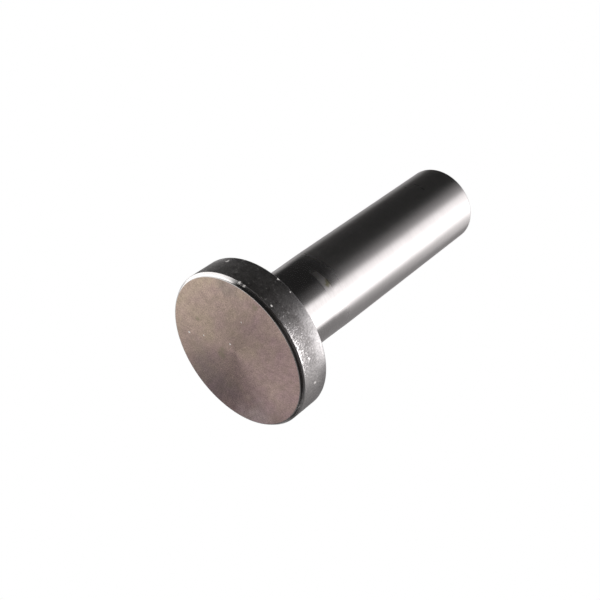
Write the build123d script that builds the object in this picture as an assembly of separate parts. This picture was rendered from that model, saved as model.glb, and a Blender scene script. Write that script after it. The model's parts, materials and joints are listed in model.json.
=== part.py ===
from build123d import *
import math
import os

# A mushroom tappet, turned from one steel blank, hardened, then ground where it slides.
# It stands on its foot: the cam face lies at height zero and the stem rises along +Z.

# Overall length, from the cam face to the open end of the stem, in millimetres like every size here
overall_length = 63.5

# Foot, the wide disc whose flat ground face rides on the cam lobe
foot_diameter = 30.3
foot_thickness = 6.5
foot_back_radius = 0.4

# Bevel round the cam face, steeper than 45 degrees, with both of its corners rolled over
bevel_width = 0.5
bevel_height = 0.75
bevel_inner_radius = 0.2
bevel_outer_radius = 0.35

# Stem, ground to run in the guide bore of the engine block
stem_diameter = 15.96
stem_end_radius = 0.7

# Relief, the slightly thinner neck that lets the grinding wheel stop short of the foot, with a long and
# gentle lead up to the full stem
relief_length = 11.5
relief_depth = 0.1
relief_lead_length = 5.5
relief_blend_radius = 40.0
shoulder_radius = 1.5

# Socket in the end of the stem, where the ball end of the pushrod sits
socket_wall = 2.48
socket_wall_length = 4.0
socket_mouth_bevel = 0.6

foot_radius = foot_diameter / 2
stem_radius = stem_diameter / 2
relief_radius = stem_radius - relief_depth
relief_top = foot_thickness + relief_length
lead_top = relief_top + relief_lead_length
socket_radius = stem_radius - socket_wall
socket_wall_top = overall_length - socket_mouth_bevel
socket_seat_centre = socket_wall_top - socket_wall_length


def outside_profile():
    """Half outline from the middle of the cam face to the inner edge of the stem's end."""
    corners = [
        (0, 0),
        (foot_radius - bevel_width, 0),
        (foot_radius, bevel_height),
        (foot_radius, foot_thickness),
        (relief_radius, foot_thickness),
        (relief_radius, relief_top),
        (stem_radius, lead_top),
        (stem_radius, overall_length),
        (socket_radius + socket_mouth_bevel, overall_length),
    ]
    corner_radii = [
        bevel_inner_radius,
        bevel_outer_radius,
        foot_back_radius,
        shoulder_radius,
        relief_blend_radius,
        relief_blend_radius,
        stem_end_radius,
    ]
    return FilletPolyline(*corners, radius=corner_radii)


def socket_profile():
    """Half outline of the socket: mouth bevel, straight wall and round seat, down to the axis."""
    bevel_and_wall = Polyline(
        (socket_radius + socket_mouth_bevel, overall_length),
        (socket_radius, socket_wall_top),
        (socket_radius, socket_seat_centre),
    )
    round_seat = CenterArc((0, socket_seat_centre), socket_radius, 0, -90)
    return bevel_and_wall + round_seat


def tappet():
    """The whole tappet: its half section turned once round the stem's axis."""
    axis_line = Line((0, socket_seat_centre - socket_radius), (0, 0))
    half_section = make_face(outside_profile() + socket_profile() + axis_line)
    return revolve(Plane.XZ * half_section, Axis.Z)


def socket_depth():
    """Depth of the socket from the stem's end to the lowest point of its round seat."""
    return overall_length - socket_seat_centre + socket_radius


os.makedirs("parts", exist_ok=True)

body = tappet()
body.label = "tappet"
export_step(body, "parts/tappet.step")

print(f"tappet: {body.volume / 1000:.2f} cm3, one solid: {len(body.solids()) == 1}")
print(f"socket: radius {socket_radius:.2f} mm, depth {socket_depth():.2f} mm")
print(f"ground stem: {overall_length - stem_end_radius - lead_top:.2f} mm long from {lead_top:.2f} mm")
print(f"bevel slope: {math.degrees(math.atan2(bevel_height, bevel_width)):.1f} degrees from the face")
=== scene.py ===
# %% [markdown]
# # A mushroom tappet, dressed in its ground and turned finishes
# A tappet rides on a cam lobe with its wide foot and pushes a rod with the socket in its stem. It is one
# piece of steel, so the whole lesson is about one surface: its outline, and what each tool left on it.
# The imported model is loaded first, because every size below comes from it or is named beside it.

import json
import math

import bpy
import numpy as np
from mathutils import Matrix, Vector


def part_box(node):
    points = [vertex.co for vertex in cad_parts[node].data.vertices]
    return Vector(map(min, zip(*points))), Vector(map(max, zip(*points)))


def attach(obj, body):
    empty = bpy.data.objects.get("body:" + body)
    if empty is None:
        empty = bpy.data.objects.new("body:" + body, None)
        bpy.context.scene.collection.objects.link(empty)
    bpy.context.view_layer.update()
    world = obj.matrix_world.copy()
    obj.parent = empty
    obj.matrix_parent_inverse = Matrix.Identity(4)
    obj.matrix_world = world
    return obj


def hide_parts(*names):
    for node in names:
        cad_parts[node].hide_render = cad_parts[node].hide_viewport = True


MM = 0.001

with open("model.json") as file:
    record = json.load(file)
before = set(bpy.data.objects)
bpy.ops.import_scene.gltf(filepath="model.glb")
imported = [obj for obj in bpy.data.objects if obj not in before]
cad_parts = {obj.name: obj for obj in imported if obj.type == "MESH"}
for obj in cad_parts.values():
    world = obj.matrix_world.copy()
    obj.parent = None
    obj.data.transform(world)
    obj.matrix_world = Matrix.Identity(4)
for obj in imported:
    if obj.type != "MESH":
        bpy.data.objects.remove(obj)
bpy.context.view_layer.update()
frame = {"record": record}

# %% [markdown]
# ## Sizes
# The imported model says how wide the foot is, how long the tappet is, and how thick its stem and how wide
# its socket are. The small sizes are named here in millimetres, as a turner would read them from the
# drawing, and the factor MM takes them to metres.

# %% Sizes of the tappet
_, foot_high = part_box("tappet")
mounts = {mount["name"]: mount for mount in frame["record"]["mounts"]}

foot_radius = foot_high.x
overall_length = foot_high.z
stem_radius = mounts["stem_guide"]["dims"]["r_mm"] * MM
socket_radius = mounts["pushrod_seat"]["dims"]["r_mm"] * MM
socket_wall_length = mounts["pushrod_seat"]["dims"]["length_mm"] * MM

foot_thickness = 6.5 * MM
foot_back_radius = 0.4 * MM
bevel_width = 0.5 * MM
bevel_height = 0.75 * MM
bevel_inner_radius = 0.2 * MM
bevel_outer_radius = 0.35 * MM
shoulder_radius = 1.5 * MM
relief_depth = 0.1 * MM
relief_length = 11.5 * MM
relief_lead_length = 5.5 * MM
relief_blend_radius = 40.0 * MM
stem_end_radius = 0.7 * MM
socket_mouth_bevel = 0.6 * MM

relief_radius = stem_radius - relief_depth
relief_top = foot_thickness + relief_length
lead_top = relief_top + relief_lead_length
socket_wall_top = overall_length - socket_mouth_bevel
socket_bottom = socket_wall_top - socket_wall_length - socket_radius
print("socket", round((overall_length - socket_bottom) / MM, 2), "mm deep")

# %% [markdown]
# ## The outline
# A lathe part is one outline swung round its axis. The outline could be a spline, but a turned part has
# straight runs and true arcs, so it is built from corners: each corner has a place, a rounding radius,
# and the name of the finish that starts there, at the beginning of its rounding or halfway through it.

# %% Corners of the outline, from the middle of the cam face to the bottom of the socket
SHARP = 0.0
AT_START, HALFWAY = 0.0, 0.5
corners = [
    # finish, radius, height, rounding, where the finish starts along the rounding
    ("cam_face", 0.0, 0.0, SHARP, AT_START),
    ("foot_bevel", foot_radius - bevel_width, 0.0, bevel_inner_radius, AT_START),
    ("foot_rim", foot_radius, bevel_height, bevel_outer_radius, HALFWAY),
    ("foot_back", foot_radius, foot_thickness, foot_back_radius, HALFWAY),
    ("neck", relief_radius, foot_thickness, shoulder_radius, HALFWAY),
    ("stem", relief_radius, relief_top, relief_blend_radius, HALFWAY),
    ("stem", stem_radius, lead_top, relief_blend_radius, HALFWAY),
    ("stem_end", stem_radius, overall_length, stem_end_radius, HALFWAY),
    ("stem_end", socket_radius + socket_mouth_bevel, overall_length, SHARP, AT_START),
    ("socket", socket_radius, socket_wall_top, SHARP, AT_START),
    ("socket", socket_radius, socket_bottom, socket_radius, HALFWAY),
    ("socket", 0.0, socket_bottom, SHARP, AT_START),
]
finish_names = list(dict.fromkeys(name for name, *_ in corners))
print("finishes:", ", ".join(finish_names))


# %% Rounding a corner, and dividing a straight run
arc_steps = 8
wide_arc_steps = 32
wide_arc_from = 4 * stem_end_radius
longest_step = 1.2 * MM
holding_gap = 0.06 * MM
shortest_run = 3 * holding_gap


def rounded_corner(before, corner, after, radius):
    """Points of the arc that rounds a corner.

    Where the outline turns by the angle t, an arc of radius r touches both runs at r tan(t / 2) from the
    corner. Its centre lies r to the side of the touching point, and its points turn round that centre
    from 0 to t.
    """
    run_in = (corner - before) / np.linalg.norm(corner - before)
    run_out = (after - corner) / np.linalg.norm(after - corner)
    turn = np.arctan2(run_in[0] * run_out[1] - run_in[1] * run_out[0], run_in @ run_out)
    if radius == SHARP:
        return corner[None, :]
    side = np.array([-run_in[1], run_in[0]]) * np.sign(turn)
    touch = corner - run_in * radius * np.tan(abs(turn) / 2)
    steps = wide_arc_steps if radius > wide_arc_from else arc_steps
    angle = np.linspace(0.0, abs(turn), steps + 1)[:, None]
    return touch + side * radius * (1 - np.cos(angle)) + run_in * radius * np.sin(angle)


def straight_run(start, end):
    """Points strictly between two ends: one close to each end, which keeps the shading of the run flat,
    and evenly spaced ones between them, at most the longest step apart."""
    length = np.linalg.norm(end - start)
    if length < shortest_run:
        return np.empty((0, 2))
    gap = holding_gap / length
    share = np.linspace(gap, 1 - gap, 2 + int(length / longest_step))[:, None]
    return start + (end - start) * share


# %% The whole outline, with the distance along it and the finish of each step
def turned_outline():
    """Rounds every corner and divides every run between them. Returns the points, the distance of each
    point along the outline, and the number of the finish between each point and the next."""
    places = np.array([[radius, height] for _, radius, height, *_ in corners])
    points, finish = [places[:1]], [0]
    for number in range(1, len(corners)):
        name, _, _, radius, share = corners[number]
        last = number == len(corners) - 1
        arc = places[-1:] if last else rounded_corner(*places[number - 1 : number + 2], radius)
        run = straight_run(points[-1][-1], arc[0])
        points += [run, arc]
        before = int(share * len(arc))
        finish += [finish[-1]] * (len(run) + before) + [finish_names.index(name)] * (len(arc) - before)
    points = np.concatenate(points)
    along = np.concatenate([[0.0], np.cumsum(np.linalg.norm(np.diff(points, axis=0), axis=1))])
    return points, along, np.array(finish[:-1])


outline, along, ring_finish = turned_outline()
print(len(outline), "rings,", round(along[-1] / MM, 1), "mm along the outline")

# %% [markdown]
# ## The turned surface
# The screw or spin tools would swing the outline too, but with numpy the angle and the outline are the
# two parameters of one grid, worked out in a single step. The first and last point lie on the axis, so
# each is one vertex that closes the surface with a fan. Every vertex keeps its distance along the outline
# in the attribute "along", so that tool marks can follow the surface round every corner.

# %% Swing the outline round the axis
columns = 360
TRIANGLE, QUAD = 3, 4


def swing(points, columns):
    """Vertex at angle a and outline point (r, z): (r cos a, r sin a, z). Points on the axis are made
    once."""
    angle = np.linspace(0.0, 2 * np.pi, columns, endpoint=False)
    radius, height = points[1:-1, :1], points[1:-1, 1:]
    grid = np.stack(np.broadcast_arrays(radius * np.cos(angle), radius * np.sin(angle), height), axis=-1)
    bottom, top = np.array([[0.0, 0.0, points[0, 1]]]), np.array([[0.0, 0.0, points[-1, 1]]])
    return np.concatenate([bottom, grid.reshape(-1, 3), top])


def grid_faces(rings, columns):
    """Quads between neighbouring rings, and a fan of triangles at each end, as corner lists and corner
    counts. The order of the corners turns every face outwards."""
    number = 1 + np.arange(rings * columns).reshape(rings, columns)
    beside = np.roll(number, -1, axis=1)
    quads = np.stack([number[:-1], beside[:-1], beside[1:], number[1:]], axis=-1).reshape(-1, 4)
    first = np.stack([np.zeros(columns, int), beside[0], number[0]], axis=-1)
    last = np.stack([number[-1], beside[-1], np.full(columns, rings * columns + 1)], axis=-1)
    corner_list = np.concatenate([first.ravel(), quads.ravel(), last.ravel()])
    fan_count = np.full(columns, TRIANGLE)
    corner_count = np.concatenate([fan_count, np.full(len(quads), QUAD), fan_count])
    return corner_list, corner_count


# %% Put the grid into a mesh
def mesh_from_grid(name, vertices, corner_list, corner_count):
    """Hands whole arrays to Blender: the places, the corners of the faces, and where each face's corners
    start."""
    mesh = bpy.data.meshes.new(name)
    mesh.vertices.add(len(vertices))
    mesh.vertices.foreach_set("co", vertices.astype(np.float32).ravel())
    mesh.loops.add(len(corner_list))
    mesh.loops.foreach_set("vertex_index", corner_list.astype(np.int32))
    mesh.polygons.add(len(corner_count))
    starts = np.concatenate([[0], np.cumsum(corner_count)[:-1]])
    mesh.polygons.foreach_set("loop_start", starts.astype(np.int32))
    mesh.polygons.foreach_set("use_smooth", np.ones(len(corner_count), bool))
    mesh.update(calc_edges=True)
    mesh.validate()
    return mesh


def make_object(mesh):
    """A new object of the mesh, at the origin."""
    made = bpy.data.objects.new(mesh.name, mesh)
    bpy.context.scene.collection.objects.link(made)
    return made


rings = len(outline) - 2
surface = mesh_from_grid("tappet_surface", swing(outline, columns), *grid_faces(rings, columns))
surface.polygons.foreach_set("material_index", np.repeat(ring_finish, columns).astype(np.int32))
along_of_vertex = np.concatenate([along[:1], np.repeat(along[1:-1], columns), along[-1:]])
along_attribute = surface.attributes.new("along", "FLOAT", "POINT")
along_attribute.data.foreach_set("value", along_of_vertex.astype(np.float32))
tappet = make_object(surface)
print(len(surface.polygons), "faces in", tappet.name)

# %% [markdown]
# ## Node helpers
# A material is a small network. A few helpers keep each network short to read: they add a node and fill
# its inputs, do one step of arithmetic, take one range of values to another, and mix, multiply or scale
# colours and vectors.

# %% Helpers for node networks
MIX_SHARE, MIX_FIRST, MIX_SECOND, MIX_RESULT = 0, 6, 7, 2


def add_node(tree, kind, inputs=None, **settings):
    """Adds a node. An input is a plain value, or the output socket of another node, which is then
    linked."""
    node = tree.nodes.new("ShaderNode" + kind)
    for name, value in settings.items():
        setattr(node, name, value)
    for key, value in (inputs or {}).items():
        if isinstance(value, bpy.types.NodeSocket):
            tree.links.new(value, node.inputs[key])
        else:
            node.inputs[key].default_value = value
    return node


def calculate(tree, operation, first, second=0.0, third=0.0):
    """One step of arithmetic on values or sockets."""
    return add_node(tree, "Math", {0: first, 1: second, 2: third}, operation=operation).outputs[0]


def scale_range(tree, value, from_low, from_high, to_low=0.0, to_high=1.0, smooth=False):
    """Takes one range of a value to another, held at the ends."""
    kind = "SMOOTHSTEP" if smooth else "LINEAR"
    inputs = {0: value, 1: from_low, 2: from_high, 3: to_low, 4: to_high}
    return add_node(tree, "MapRange", inputs, interpolation_type=kind).outputs[0]


def mix_colours(tree, share, first, second):
    """The first colour where share is 0, the second where it is 1."""
    first, second = [(*c, 1.0) if isinstance(c, tuple) else c for c in (first, second)]
    inputs = {MIX_SHARE: share, MIX_FIRST: first, MIX_SECOND: second}
    return add_node(tree, "Mix", inputs, data_type="RGBA").outputs[MIX_RESULT]


def multiply_each(tree, first, second):
    """Two vectors or colours multiplied part by part."""
    return add_node(tree, "VectorMath", {0: first, 1: second}, operation="MULTIPLY").outputs[0]


def scale_all(tree, vector, factor):
    """All parts of a vector or colour times one factor."""
    return add_node(tree, "VectorMath", {0: vector, "Scale": factor}, operation="SCALE").outputs[0]


# %% [markdown]
# An effect that several finishes share is a node group, built once with named sockets and placed in each
# material with its own values.

# %% Helpers for node groups
def new_group(name, inputs, outputs):
    """An empty node group with named sockets. Inputs maps a name to its plain value, a number or a
    vector. Every output is a number."""
    group = bpy.data.node_groups.new(name, "ShaderNodeTree")
    for socket, value in inputs.items():
        kind = "NodeSocketVector" if isinstance(value, tuple) else "NodeSocketFloat"
        group.interface.new_socket(socket, in_out="INPUT", socket_type=kind).default_value = value
    for socket in outputs:
        group.interface.new_socket(socket, in_out="OUTPUT", socket_type="NodeSocketFloat")
    return group, group.nodes.new("NodeGroupInput").outputs, group.nodes.new("NodeGroupOutput").inputs


def use_group(tree, group, inputs):
    """Places a node group in a network and gives its outputs."""
    node = tree.nodes.new("ShaderNodeGroup")
    node.node_tree = group
    for key, value in inputs.items():
        if isinstance(value, bpy.types.NodeSocket):
            tree.links.new(value, node.inputs[key])
        else:
            node.inputs[key].default_value = value
    return node.outputs


# %% [markdown]
# ## What the tools leave
# A lathe tool or a grinding wheel leaves fine rings: lines that run round the axis and change quickly
# along the outline. A plain stretched noise would show its seam where the angle starts again, so the
# noise is read at the distance along the outline and at the direction from the axis, which comes round to
# itself.

# %% Tool marks
ACROSS_THE_AXIS = (1.0, 1.0, 0.0)


def make_tool_marks():
    """Noise whose first coordinate is the distance along the outline over the spacing of the lines, and
    whose other two are the unit vector from the axis times how often a line breaks off on its way
    round."""
    sockets = {"Spacing": 0.2 * MM, "Breaks": 2.0, "Detail": 3.0}
    group, given, result = new_group("tool_marks", sockets, ["Value"])
    place = add_node(group, "TexCoord").outputs["Object"]
    flat = multiply_each(group, place, ACROSS_THE_AXIS)
    outward = add_node(group, "VectorMath", {0: flat}, operation="NORMALIZE").outputs[0]
    round_about = scale_all(group, outward, given["Breaks"])
    parts = add_node(group, "SeparateXYZ", {0: round_about}).outputs
    distance = add_node(group, "Attribute", attribute_name="along").outputs["Fac"]
    lines = calculate(group, "DIVIDE", distance, given["Spacing"])
    where = add_node(group, "CombineXYZ", {0: lines, 1: parts[0], 2: parts[1]}).outputs[0]
    noise = add_node(group, "TexNoise", {"Vector": where, "Scale": 1.0, "Detail": given["Detail"]})
    group.links.new(noise.outputs["Fac"], result["Value"])
    return group


tool_marks = make_tool_marks()
print("group", tool_marks.name)

# %% [markdown]
# Hardening and handling leave clouds: soft patches a few millimetres wide, a little lighter or darker.
# Bead blasting leaves a grain that is the same in every direction. Both are noise on the object's own
# coordinates, at their size. The values of such noise crowd round a half. The ranges below hold most of
# them, nearly all of them, and only the rare peaks.

# %% Clouds and grain
NOISE_MEAN = 0.5
NOISE_MOST = (0.35, 0.65)
NOISE_ALL = (0.3, 0.7)
NOISE_PEAKS = (0.72, 0.8)


def make_noise_field(name, size, detail):
    """Noise on Object coordinates whose features are as wide as Size, in metres, and curl by Warp. Where
    Squeeze is under 1 along an axis, they are that much longer along it."""
    sockets = {"Size": size, "Detail": detail, "Warp": 0.0}
    sockets |= {"Place": (0.0, 0.0, 0.0), "Squeeze": (1.0, 1.0, 1.0)}
    group, given, result = new_group(name, sockets, ["Value"])
    place = add_node(group, "TexCoord").outputs["Object"]
    moved = add_node(group, "VectorMath", {0: place, 1: given["Place"]}, operation="ADD").outputs[0]
    squeezed = multiply_each(group, moved, given["Squeeze"])
    scale = calculate(group, "DIVIDE", 1.0, given["Size"])
    inputs = {"Vector": squeezed, "Scale": scale, "Detail": given["Detail"], "Distortion": given["Warp"]}
    group.links.new(add_node(group, "TexNoise", inputs).outputs["Fac"], result["Value"])
    return group


noise_field = make_noise_field("noise_field", 3.0 * MM, 2.0)
print("group", noise_field.name)


def read_noise(tree, values):
    """The value of the noise field with these settings."""
    return use_group(tree, noise_field, values)["Value"]


# %% [markdown]
# A speck of dust or a drop stain is a spot with a place, a radius and a more or less soft edge. The
# distance from its place is bent a little by noise, so that no spot is a perfect disc.

# %% A spot
def make_spot():
    """1 within the spot and 0 outside. The distance from the centre over the radius, plus the noise's
    swing to both sides times Wobble, is held against 1 with Softness to both sides."""
    sockets = {"Centre": (0.0, 0.0, 0.0), "Radius": 0.3 * MM, "Softness": 0.3, "Wobble": 0.3}
    group, given, result = new_group("spot", sockets, ["Mask"])
    place = add_node(group, "TexCoord").outputs["Object"]
    apart = add_node(group, "VectorMath", {0: place, 1: given["Centre"]}, operation="DISTANCE")
    distance = apart.outputs["Value"]
    share = calculate(group, "DIVIDE", distance, given["Radius"])
    scale = calculate(group, "DIVIDE", 1.0, given["Radius"])
    noise = add_node(group, "TexNoise", {"Vector": place, "Scale": scale, "Detail": 2.0}).outputs["Fac"]
    uneven = calculate(group, "MULTIPLY", calculate(group, "SUBTRACT", noise, NOISE_MEAN), given["Wobble"])
    edge = calculate(group, "ADD", share, calculate(group, "DIVIDE", uneven, NOISE_MEAN))
    inner = calculate(group, "SUBTRACT", 1.0, given["Softness"])
    outer = calculate(group, "ADD", 1.0, given["Softness"])
    mask = scale_range(group, edge, outer, inner, smooth=True)
    group.links.new(mask, result["Mask"])
    return group


spot = make_spot()
print("group", spot.name)

# %% [markdown]
# ## Finishes
# All of the tappet is steel without paint, so every finish is a fully metallic shader. A photograph could
# colour it, but then it would fit one view only. What differs is the colour that phosphate and handling
# left, how wide the surface spreads a reflection, and the marks in it. The marks of a turned surface
# spread light across themselves and not along, which is the shader's anisotropy, round the axis.

# %% A start for every steel finish
ROUND_THE_AXIS = 0.0
OUTWARDS = 0.25


def steel_finish(name, anisotropy, spread):
    """A metallic material whose reflections spread across its marks. The shader spreads them along its
    tangent, which runs round the axis, or a quarter turn from it, which is outwards. Returns tree and
    shader too."""
    material = bpy.data.materials.new(name)
    material.use_nodes = True
    tree = material.node_tree
    tree.nodes.clear()
    round_axis = add_node(tree, "Tangent", direction_type="RADIAL", axis="Z").outputs[0]
    inputs = {"Metallic": 1.0, "Anisotropic": anisotropy, "Anisotropic Rotation": spread}
    shader = add_node(tree, "BsdfPrincipled", {**inputs, "Tangent": round_axis})
    output = add_node(tree, "OutputMaterial")
    tree.links.new(shader.outputs[0], output.inputs["Surface"])
    return material, tree, shader


def set_bump(tree, shader, height, distance):
    """Raises the surface by up to distance where height is 1."""
    bump = add_node(tree, "Bump", {"Height": height, "Distance": distance, "Strength": 1.0})
    tree.links.new(bump.outputs[0], shader.inputs["Normal"])


# %% [markdown]
# Dust and dried oil lie on the steel. Each speck could be a small mesh, but they are flat to the eye, so a
# mask of spots changes what is under it. Oil tints the metal. Dust covers it with something white and matt.

# %% Specks and stains
DUST_WHITE = (0.8, 0.78, 0.75)
OIL_OLIVE = (0.27, 0.26, 0.15)
dust_softness = 0.4
stain_softness = 0.7
spot_wobble = 1.2


def spots_mask(tree, spots, softness):
    """1 within any of the spots. A spot is a place and a radius, in mm."""
    together = 0.0
    for *centre, radius in spots:
        place = tuple(MM * side for side in centre)
        values = {"Centre": place, "Radius": radius * MM, "Softness": softness, "Wobble": spot_wobble}
        together = calculate(tree, "MAXIMUM", together, use_group(tree, spot, values)["Mask"])
    return together


def add_stains(tree, colour, stains, strength):
    """Dried oil: it tints the steel under it."""
    mask = calculate(tree, "MULTIPLY", spots_mask(tree, stains, stain_softness), strength)
    return mix_colours(tree, mask, colour, OIL_OLIVE)


def add_dust(tree, shader, colour, dust, fine=0.0):
    """Specks of dust: white, and matt instead of metallic, so that they show on steel that mirrors the
    dark. Fine is the mask of a finer dust, up to 1."""
    mask = calculate(tree, "MAXIMUM", spots_mask(tree, dust, dust_softness), fine)
    tree.links.new(calculate(tree, "SUBTRACT", 1.0, mask), shader.inputs["Metallic"])
    return mix_colours(tree, mask, colour, DUST_WHITE)


# %% [markdown]
# Some marks keep to one stretch or one side. A painted mask would have to follow the surface by hand, but
# two soft steps in a coordinate, multiplied, make a band that has soft ends and named limits.

# %% Where a mark begins and ends
def place_on_surface(tree):
    """The three object coordinates: X, Y and the height above the cam face."""
    return add_node(tree, "SeparateXYZ", {0: add_node(tree, "TexCoord").outputs["Object"]}).outputs


def between(tree, value, limits, edge):
    """1 between two limits and 0 outside them, over a soft edge."""
    low, high = limits
    above = scale_range(tree, value, low - edge, low + edge, smooth=True)
    below = scale_range(tree, value, high + edge, high - edge, smooth=True)
    return calculate(tree, "MULTIPLY", above, below)


# %% [markdown]
# The turned and ground stretches are the bevel, the neck, the stem and what the photograph hides. They
# differ in how far apart their rings lie, how rough they are, and how much more they spread light across
# the rings than along. Rings a few tenths of a millimetre apart could be cut into the mesh, but the eye
# only sees the streaks of light that they make. So they move the colour, the roughness and the height by
# a few per cent, and the shader does the rest. The upper half of the bevel is duller than the lower one.
# The stem has a short strip that wear left matt, and starts smoother than it goes on.

# %% Steel with fine rings
STEEL_LIGHT = (0.585, 0.57, 0.565)
STEEL_DARK = (0.535, 0.52, 0.515)
ring_pattern = {"Breaks": 3.0, "Detail": 3.0}
steel_clouds = {"Size": 4.0 * MM, "Detail": 2.0}
ring_share, cloud_share = 0.5, 0.5
roughness_swing = 0.06
steel_stain_strength = 0.85
strip_side_edge = 3.0 * MM


def ground_steel(
    name, spacing, roughness, anisotropy, ring_depth, stains=(), dust=(), satin=None, smoother=None
):
    """The noise of the rings moves the colour, the roughness and the height a little, and clouds move the
    colour. Satin is a band where the surface is rougher: its two heights and how soft they are, its two
    limits in X and its roughness. Smoother is a start that is less rough: the heights between which it
    fades, and by how much."""
    material, tree, shader = steel_finish(name, anisotropy, OUTWARDS)
    marks = use_group(tree, tool_marks, {"Spacing": spacing, **ring_pattern})["Value"]
    shade = calculate(tree, "MULTIPLY", read_noise(tree, steel_clouds), cloud_share)
    shade = calculate(tree, "MULTIPLY_ADD", marks, ring_share, shade)
    colour = mix_colours(tree, scale_range(tree, shade, *NOISE_MOST), STEEL_DARK, STEEL_LIGHT)
    if stains:
        colour = add_stains(tree, colour, stains, steel_stain_strength)
    if dust:
        colour = add_dust(tree, shader, colour, dust)
    tree.links.new(colour, shader.inputs["Base Color"])
    roughest, smoothest = roughness * (1 + roughness_swing), roughness * (1 - roughness_swing)
    rough = scale_range(tree, shade, *NOISE_ALL, roughest, smoothest)
    if satin:
        heights, height_edge, sides, satin_roughness = satin
        place = place_on_surface(tree)
        band = between(tree, place[2], heights, height_edge)
        band = calculate(tree, "MULTIPLY", band, between(tree, place[0], sides, strip_side_edge))
        more = calculate(tree, "MULTIPLY", band, satin_roughness - roughness)
        rough = calculate(tree, "ADD", rough, more)
    if smoother:
        fade, less_at_first = smoother
        less = scale_range(tree, place_on_surface(tree)[2], *fade, less_at_first, 0.0, smooth=True)
        rough = calculate(tree, "SUBTRACT", rough, less)
    tree.links.new(rough, shader.inputs["Roughness"])
    if ring_depth:
        set_bump(tree, shader, marks, ring_depth)
    return material


# %% [markdown]
# The cam face is ground by the rim of a cup wheel, whose marks cross each other all over it. They could
# be a bump, but each is finer than a pixel, and what shows is the fan of light that turns round the
# middle. Anisotropy round the axis makes that fan. Phosphate has coloured the face taupe, pinker on one
# side and in patches, with a fine mottle. Painted shade darkens the colour in two soft places, and
# painted light brightens it in one.

# %% Colours and patterns of the cam face
FACE_TAN = (0.55, 0.428, 0.352)
FACE_MAUVE = (0.465, 0.335, 0.323)
PINK_TINT = (1.02, 0.985, 1.0)
OLIVE_TINT = (0.995, 1.0, 0.94)
# The next two tints are painted shade and painted light, laid on the face's colour in soft spots.
FACE_PAINTED_SHADE = (0.78, 0.8, 0.85)
FACE_PAINTED_LIGHT = (1.36, 1.47, 1.55)
NO_TINT = (1.0, 1.0, 1.0)
DRAWN_LONG = (1.0, 0.55, 1.0)
face_noises = {
    "wide": {"Size": 7.0 * MM, "Detail": 2.0},
    "patchy": {"Size": 2.2 * MM, "Detail": 4.0, "Place": (0.03, 0.0, 0.0), "Squeeze": DRAWN_LONG},
    "mottle": {"Size": 0.9 * MM, "Detail": 4.0, "Squeeze": DRAWN_LONG},
    "grain": {"Size": 0.22 * MM, "Detail": 0.0, "Place": (0.0, 0.04, 0.0), "Squeeze": DRAWN_LONG},
}
face_streaks = {"Spacing": 5.0 * MM, "Breaks": 30.0, "Detail": 3.0}
grain_share, mottle_share, streak_share = 0.35, 0.4, 0.25
shade_most = (0.36, 0.64)
face_contrast = (0.79, 1.21)
face_roughness = (0.22, 0.208)
face_anisotropy = 0.9
tan_side, mauve_side = 0.3, -0.4

# %% Marks on the cam face, each a place and a radius in mm
face_dust = [(-7.76, 8.24, 0, 0.2), (-5.69, 4.96, 0, 0.12), (-1.63, -0.24, 0, 0.17)]
face_dust += [(-3.46, -6.86, 0, 0.11)]
face_stains = [(-4.0, -12.6, 0, 0.5), (-1.12, 3.81, 0, 0.8), (-1.77, 2.72, 0, 0.5)]
face_stains += [(-8.64, 3.34, 0, 0.4)]
# Where painted shade darkens the face and where painted light brightens it, each a place and a radius in mm
face_painted_shade_spots = [(1.5, 11.5, 0, 5.0), (-10.0, -10.0, 0, 2.8)]
face_painted_light_spots = [(13.0, 7.3, 0, 4.0)]
painted_shading_softness = 0.8
face_stain_strength = 0.45


# %% The cam face
def face_colour(tree, mottle):
    """From tan to mauve by wide noise and by side, tinted in patches, times a shade of grain, mottle and
    streaks."""
    wide, patchy, grain = [read_noise(tree, face_noises[name]) for name in ("wide", "patchy", "grain")]
    streaks = use_group(tree, tool_marks, face_streaks)["Value"]
    across = scale_range(tree, place_on_surface(tree)[0], -foot_radius, foot_radius, tan_side, mauve_side)
    tone = scale_range(tree, calculate(tree, "ADD", wide, across), *NOISE_ALL)
    tint = mix_colours(tree, scale_range(tree, patchy, *NOISE_MOST), OLIVE_TINT, PINK_TINT)
    colour = multiply_each(tree, mix_colours(tree, tone, FACE_MAUVE, FACE_TAN), tint)
    shade = calculate(tree, "MULTIPLY", mottle, mottle_share)
    shade = calculate(tree, "MULTIPLY_ADD", grain, grain_share, shade)
    shade = calculate(tree, "MULTIPLY_ADD", streaks, streak_share, shade)
    return scale_all(tree, colour, scale_range(tree, shade, *shade_most, *face_contrast))


def cam_face_finish():
    """The crossing marks spread light round the axis, in fans that meet in the middle. Painted shade
    darkens the phosphate's colour in two soft places and painted light brightens it in one. Stains and dust
    lie on it."""
    material, tree, shader = steel_finish("cam_face", face_anisotropy, ROUND_THE_AXIS)
    mottle = read_noise(tree, face_noises["mottle"])
    colour = face_colour(tree, mottle)
    # Painted shade in two soft spots and painted light in one
    for spots, tint in ((face_painted_shade_spots, FACE_PAINTED_SHADE), (face_painted_light_spots, FACE_PAINTED_LIGHT)):
        painted_shading = mix_colours(tree, spots_mask(tree, spots, painted_shading_softness), NO_TINT, tint)
        colour = multiply_each(tree, colour, painted_shading)
    colour = add_stains(tree, colour, face_stains, face_stain_strength)
    colour = add_dust(tree, shader, colour, face_dust)
    tree.links.new(colour, shader.inputs["Base Color"])
    tree.links.new(scale_range(tree, mottle, *NOISE_ALL, *face_roughness), shader.inputs["Roughness"])
    return material
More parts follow.
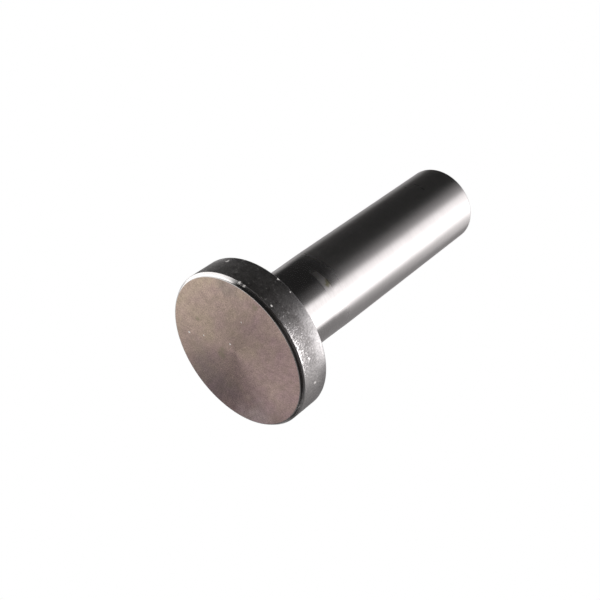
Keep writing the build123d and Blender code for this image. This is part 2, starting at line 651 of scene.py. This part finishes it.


# %% [markdown]
# The rim of the foot touches nothing, so it isn't ground. Blasting left it satin, with a grain that has
# no direction, and smoother towards its rear edge. Its colour is lighter towards that edge and on one
# side, which is a painted highlight. Handling has knocked its front edge, where bright nicks crowd and
# join into a worn line. The nicks are the peaks of one more noise: the nearer to the edge, the lower the
# peaks that count.

# %% Colours and patterns of the rim
RIM_LIGHT = (0.27, 0.26, 0.26)
RIM_DARK = (0.19, 0.183, 0.18)
# The next two colours are painted highlight: lighter towards the rim's rear edge, and on one side.
RIM_REAR_PAINTED_HIGHLIGHT = (0.43, 0.42, 0.42)
RIM_SIDE_PAINTED_HIGHLIGHT = (0.43, 0.415, 0.41)
RIM_POLISHED = (0.9, 0.88, 0.87)
rim_noises = {
    "grain": {"Size": 0.3 * MM, "Detail": 2.0},
    "clouds": {"Size": 1.4 * MM, "Detail": 4.0},
    "nicks": {"Size": 0.35 * MM, "Detail": 1.0, "Warp": 2.0, "Place": (0.0, 0.02, 0.0)},
    "fine_dust": {"Size": 0.35 * MM, "Detail": 0.0, "Place": (0.05, 0.0, 0.0)},
}
rim_contrast = (0.74, 1.26)
rim_roughness = (0.46, 0.38)
rim_anisotropy = 0.0
grain_depth = 0.02 * MM
back_from, back_smoother = 3.2 * MM, 0.13
# The side of the rim that gets a painted highlight, between two limits in X, and how soft its ends are
painted_highlight_sides, painted_highlight_side_edge = (10.0 * MM, 14.6 * MM), 1.6 * MM

# %% Nicks and dust on the rim
nicks_fade, nicks_most = (4.0 * MM, 0.9 * MM), 0.2
worn_edge_fade, worn_edge_more = (1.3 * MM, 0.85 * MM), 0.12
nicks_start, nicks_end = (-1.0 * MM, 3.5 * MM), (11.5 * MM, 7.5 * MM)
fine_dust_strength = 0.3
rim_dust = [(-13.33, -7.2, 4.89, 0.3), (-5.58, -14.09, 6.2, 0.23), (11.96, -9.3, 3.29, 0.25)]
rim_dust += [(-2.68, -14.91, 6.0, 0.13)]
edge_dust = [(-8.85, -12.27, 0.68, 0.26), (-7.93, -12.88, 0.6, 0.22), (-2.64, -14.92, 1.2, 0.17)]


# %% The rim
def nicked_places(tree, place):
    """1 in a nick. The noise is raised near the front edge, and more so in a narrow line along it,
    between two fades from side to side, and its peaks are the nicks."""
    nicks = read_noise(tree, rim_noises["nicks"])
    low = scale_range(tree, place[2], *nicks_fade)
    edge = calculate(tree, "MULTIPLY", scale_range(tree, place[2], *worn_edge_fade), worn_edge_more)
    start, end = [scale_range(tree, place[0], *fade) for fade in (nicks_start, nicks_end)]
    beside = calculate(tree, "MULTIPLY", start, end)
    crowd = calculate(tree, "MULTIPLY", calculate(tree, "MULTIPLY_ADD", low, nicks_most, edge), beside)
    return scale_range(tree, calculate(tree, "ADD", nicks, crowd), *NOISE_PEAKS)


def rim_finish():
    """Blasted satin: clouds, then a painted highlight on one side and towards the rear edge, times the
    grain, with nicks and dust."""
    material, tree, shader = steel_finish("foot_rim", rim_anisotropy, OUTWARDS)
    grain, clouds, fine = [read_noise(tree, rim_noises[name]) for name in ("grain", "clouds", "fine_dust")]
    place = place_on_surface(tree)
    # Towards the rear edge the colour gets a painted highlight and the roughness drops.
    rear_highlight_and_smoothing = scale_range(tree, place[2], back_from, foot_thickness, smooth=True)
    colour = mix_colours(tree, scale_range(tree, clouds, *NOISE_MOST), RIM_DARK, RIM_LIGHT)
    # A painted highlight on one side, then towards the rear edge.
    colour = mix_colours(tree, between(tree, place[0], painted_highlight_sides, painted_highlight_side_edge), colour, RIM_SIDE_PAINTED_HIGHLIGHT)
    colour = mix_colours(tree, rear_highlight_and_smoothing, colour, RIM_REAR_PAINTED_HIGHLIGHT)
    colour = scale_all(tree, colour, scale_range(tree, grain, *NOISE_ALL, *rim_contrast))
    colour = mix_colours(tree, nicked_places(tree, place), colour, RIM_POLISHED)
    fine = calculate(tree, "MULTIPLY", scale_range(tree, fine, *NOISE_PEAKS), fine_dust_strength)
    colour = add_dust(tree, shader, colour, rim_dust + edge_dust, fine)
    tree.links.new(colour, shader.inputs["Base Color"])
    rough = scale_range(tree, grain, *NOISE_ALL, *rim_roughness)
    rough = calculate(tree, "SUBTRACT", rough, calculate(tree, "MULTIPLY", rear_highlight_and_smoothing, back_smoother))
    tree.links.new(rough, shader.inputs["Roughness"])
    set_bump(tree, shader, grain, grain_depth)
    return material


# %% [markdown]
# The outline already says which finish starts at which corner. What is left is to make each finish and to
# hand them to the surface in the order of those numbers. A table keeps the ground ones side by side,
# where they compare well.

# %% What lies on the ground stretches
neck_stains = [(-0.3, -7.9, 19.3, 0.6)]
all_round = (-2 * foot_radius, 2 * foot_radius)
bevel_satin = ((0.38 * MM, 2.0 * MM), 0.12 * MM, all_round, 0.3)
strip_heights = (relief_top + 0.1 * MM, relief_top + 1.6 * MM)
worn_strip = (strip_heights, 0.25 * MM, (-3.0 * MM, 1.2 * MM), 0.45)
stem_start = ((relief_top + 1.5 * MM, relief_top + 5.0 * MM), 0.085)
on_bevel = {"dust": edge_dust, "satin": bevel_satin}
on_stem = {"stains": neck_stains, "satin": worn_strip, "smoother": stem_start}

# %% One finish for each stretch of the outline
ground_finishes = {
    # name, spacing of the rings, roughness, anisotropy, depth of the rings, and what lies on the steel
    "foot_bevel": (0.12 * MM, 0.16, 0.3, 0.001 * MM, on_bevel),
    "foot_back": (0.3 * MM, 0.33, 0.6, 0.004 * MM, {}),
    "neck": (0.25 * MM, 0.19, 0.1, 0.001 * MM, {}),
    "stem": (0.3 * MM, 0.29, 0.0, 0.0, on_stem),
    "stem_end": (0.25 * MM, 0.3, 0.6, 0.003 * MM, {}),
    "socket": (0.2 * MM, 0.32, 0.6, 0.003 * MM, {}),
}
finishes = {"cam_face": cam_face_finish(), "foot_rim": rim_finish()}
for name, (*values, marks_on_it) in ground_finishes.items():
    finishes[name] = ground_steel(name, *values, **marks_on_it)
for name in finish_names:
    surface.materials.append(finishes[name])
print(len(surface.materials), "finishes on", tappet.name)

# %% [markdown]
# The surface is finished. It rides on the root body, because the tappet is all one body, and it stands
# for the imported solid, which is hidden behind it.

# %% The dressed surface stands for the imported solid
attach(tappet, "root")
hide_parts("tappet")

# %% [markdown]
# ## The floor
# The photograph looks at the cam face, the side that a standing tappet hides. So the camera looks up from
# below, and the floor lets that view through: its underside is clear, and it has a window where the face
# stands. Seen from above it is a plain pale floor with the tappet's shadow, which fades into the white of
# the room further out.

# %% Floor
floor_radius = 600 * MM
floor_clear_from = 110 * MM
floor_clear_to = 330 * MM
mirror_clear_to = 32 * MM
mirror_clear_from = 17 * MM
window_gap = 0.05 * MM
window_radius = foot_radius - bevel_width - window_gap
floor_columns = 128
FLOOR_PALE = (0.86, 0.86, 0.86, 1.0)


def floor_mesh():
    """A flat ring from the window to the floor's edge: two circles of vertices, and quads between
    them."""
    angle = np.linspace(0.0, 2 * np.pi, floor_columns, endpoint=False)
    circle = np.stack([np.cos(angle), np.sin(angle), np.zeros(floor_columns)], axis=-1)
    number = np.arange(floor_columns)
    beside = np.roll(number, -1)
    outer = number + floor_columns
    quads = np.stack([number, outer, np.roll(outer, -1), beside], axis=-1)
    vertices = np.concatenate([circle * window_radius, circle * floor_radius])
    return mesh_from_grid("floor", vertices, quads.ravel(), np.full(floor_columns, QUAD))


def floor_finish():
    """Pale and matt from above. Clear from below, far out, and close to the foot where the steel mirrors
    it."""
    material = bpy.data.materials.new("floor_pale")
    material.use_nodes = True
    tree = material.node_tree
    tree.nodes.clear()
    place = add_node(tree, "TexCoord").outputs["Object"]
    distance = add_node(tree, "VectorMath", {0: place}, operation="LENGTH").outputs["Value"]
    far = scale_range(tree, distance, floor_clear_from, floor_clear_to, smooth=True)
    close = scale_range(tree, distance, mirror_clear_to, mirror_clear_from, smooth=True)
    mirrored = add_node(tree, "LightPath").outputs["Is Glossy Ray"]
    underside = add_node(tree, "NewGeometry").outputs["Backfacing"]
    clear = calculate(tree, "MAXIMUM", far, calculate(tree, "MULTIPLY", close, mirrored))
    clear = calculate(tree, "MAXIMUM", clear, underside)
    pale = add_node(tree, "BsdfDiffuse", {"Color": FLOOR_PALE}).outputs[0]
    see_through = add_node(tree, "BsdfTransparent").outputs[0]
    mix = add_node(tree, "MixShader", {0: clear, 1: pale, 2: see_through}).outputs[0]
    output = add_node(tree, "OutputMaterial")
    tree.links.new(mix, output.inputs["Surface"])
    return material


floor = make_object(floor_mesh())
floor.data.materials.append(floor_finish())
print("floor", round(2 * floor_radius, 2), "m across")

# %% [markdown]
# ## The studio
# Bare steel shows nothing but its surroundings, so the look of the tappet is mostly the look of the room.
# A room can be built from lamps and boards, but the world shader can paint the same boards at an endless
# distance, with soft edges and no noise. Each card has a direction, a size, a soft edge and a colour. The
# camera sees plain white.

# %% One card of the studio
card_sockets = ["Card Azimuth", "Card Elevation", "Half Width", "Half Height", "Side Edge", "Top Edge"]


def make_studio_card():
    """1 in the card's directions and 0 outside: the product of two soft steps, in azimuth and in
    elevation."""
    sockets = dict.fromkeys(["Azimuth", "Elevation", *card_sockets], 0.0)
    group, given, result = new_group("studio_card", sockets, ["Mask"])
    steps = []
    sides = (("Azimuth", "Half Width", "Side Edge"), ("Elevation", "Half Height", "Top Edge"))
    for direction, size, edge in sides:
        apart = calculate(group, "SUBTRACT", given[direction], given["Card " + direction])
        apart = calculate(group, "WRAP", apart, -math.pi, math.pi)
        apart = calculate(group, "ABSOLUTE", apart)
        inner = calculate(group, "SUBTRACT", given[size], given[edge])
        outer = calculate(group, "ADD", given[size], given[edge])
        steps.append(scale_range(group, apart, outer, inner, smooth=True))
    group.links.new(calculate(group, "MULTIPLY", *steps), result["Mask"])
    return group


studio_card = make_studio_card()

# %% Cards, each painted over the ones before it
# Azimuth runs from +X towards +Y, so the camera stands at 270 degrees. All angles are in degrees.
WHITE = (1.0, 1.0, 1.0, 1.0)
room_colour = (0.3, 0.29, 0.29)
cards = [
    # azimuth, elevation, half width, half height, soft edge at the sides and at top and bottom, colour
    ("grey_wall_behind", 105, 38, 35, 50, 12, 12, (0.45, 0.44, 0.44)),
    ("black_flag_left", 207, 20, 70, 80, 14, 14, (0.018, 0.018, 0.018)),
    ("softbox_spill", -80, 62, 25, 21.6, 20, 1.6, (0.42, 0.41, 0.415)),
    ("wall_high_right", 10, 58, 22, 11.5, 12, 4.5, (1.5, 1.46, 1.46)),
    ("softbox_right", -42.5, 42, 33.5, 34, 9, 9, (1.75, 1.7, 1.71)),
    ("softbox_core", -28.5, 42, 18.5, 30, 9, 9, (2.6, 2.54, 2.55)),
    ("black_strip_low_right", -40, -20, 75, 19, 6, 6, (0.018, 0.016, 0.015)),
    ("dark_low_behind_right", 58, -1, 46, 15, 6, 6, (0.05, 0.047, 0.047)),
    ("white_card_low_left", 154, -2, 40, 18, 4, 4, (2.2, 2.17, 2.15)),
    ("grey_gap_left", 245, 20, 28, 5, 4, 4, (0.14, 0.135, 0.13)),
    ("dark_far_below", 90, -78, 190, 22, 3, 8, (0.1, 0.1, 0.1)),
    ("grey_under_right", 50, -37, 40, 21, 6, 6, (0.2, 0.195, 0.195)),
    ("sheet_under", 124.4, -37, 40.8, 21, 2, 6, (1.25, 1.25, 1.25)),
    ("dark_gap_under", 89.7, -30.6, 6.2, 7.4, 6.1, 7.0, (0.01, 0.01, 0.01)),
]


def studio_world():
    """Paints the cards over the room's grey by direction, and shows white to the camera."""
    world = bpy.data.worlds.new("studio")
    world.use_nodes = True
    tree = world.node_tree
    tree.nodes.clear()
    direction = add_node(tree, "TexCoord").outputs["Generated"]
    parts = add_node(tree, "SeparateXYZ", {0: direction}).outputs
    azimuth = calculate(tree, "ARCTAN2", parts[1], parts[0])
    elevation = calculate(tree, "ARCSINE", parts[2])
    colour = mix_colours(tree, 0.0, room_colour, room_colour)
    for _, *angles, card_colour in cards:
        values = dict(zip(card_sockets, map(math.radians, angles)))
        values |= {"Azimuth": azimuth, "Elevation": elevation}
        colour = mix_colours(tree, use_group(tree, studio_card, values)["Mask"], colour, card_colour)
    room = add_node(tree, "Background", {"Color": colour, "Strength": 1.0}).outputs[0]
    white = add_node(tree, "Background", {"Color": WHITE, "Strength": 1.0}).outputs[0]
    seen = add_node(tree, "LightPath").outputs["Is Camera Ray"]
    mix = add_node(tree, "MixShader", {0: seen, 1: room, 2: white}).outputs[0]
    output = add_node(tree, "OutputWorld")
    tree.links.new(mix, output.inputs["Surface"])
    return world


bpy.context.scene.world = studio_world()
print(len(cards), "cards in the studio")

# %% [markdown]
# ## Lamps
# The cards light the steel. What is matt needs lamps: one from above gives the floor its shadow, and one
# from below lights the dust on the cam face. Both are soft, and both are left out of the mirror.

# %% Two soft lamps
lamp_size = 300 * MM
key_place, key_power = Vector((-250, -200, 500)) * MM, 1.2
low_place, low_power = Vector((-100, -300, -300)) * MM, 1.6


def soft_lamp(name, place, power):
    """A square area lamp that looks at the middle of the cam face. Power is in watts."""
    light = bpy.data.lights.new(name, "AREA")
    light.size = lamp_size
    light.energy = power
    lamp = bpy.data.objects.new(name, light)
    bpy.context.scene.collection.objects.link(lamp)
    lamp.location = place
    lamp.rotation_euler = (-place).to_track_quat("-Z", "Y").to_euler()
    lamp.visible_glossy = False
    return lamp


key_lamp = soft_lamp("key_lamp", key_place, key_power)
low_lamp = soft_lamp("low_lamp", low_place, low_power)
print("lamps:", key_lamp.name, "and", low_lamp.name)

# %% [markdown]
# ## The camera
# The photograph looks up at the cam face from close by, with the stem leaning away to the upper right. In
# the frame of the standing tappet that is a camera under the floor, aimed at the neck and rolled about
# its own axis. Place, aim, roll and lens were fitted together to the outlines of face, foot and stem.

# %% Camera
camera_place = Vector((0.0, -146.01, -95.07)) * MM
camera_aim = Vector((-0.77, 0.0, 18.2)) * MM
camera_roll = math.radians(54.18)
camera_lens = 60.34
nearest_seen = 1 * MM


def photo_camera():
    """Looks along its own -Z axis from place to aim, turned about that axis by the roll."""
    camera_data = bpy.data.cameras.new("photo_camera")
    camera_data.lens = camera_lens
    camera_data.clip_start = nearest_seen
    camera = bpy.data.objects.new("photo_camera", camera_data)
    bpy.context.scene.collection.objects.link(camera)
    upright = (camera_aim - camera_place).to_track_quat("-Z", "Y").to_matrix()
    turned = upright @ Matrix.Rotation(camera_roll, 3, "Z")
    camera.matrix_world = Matrix.Translation(camera_place) @ turned.to_4x4()
    return camera


bpy.context.scene.camera = photo_camera()
bpy.context.scene.view_settings.view_transform = "Standard"
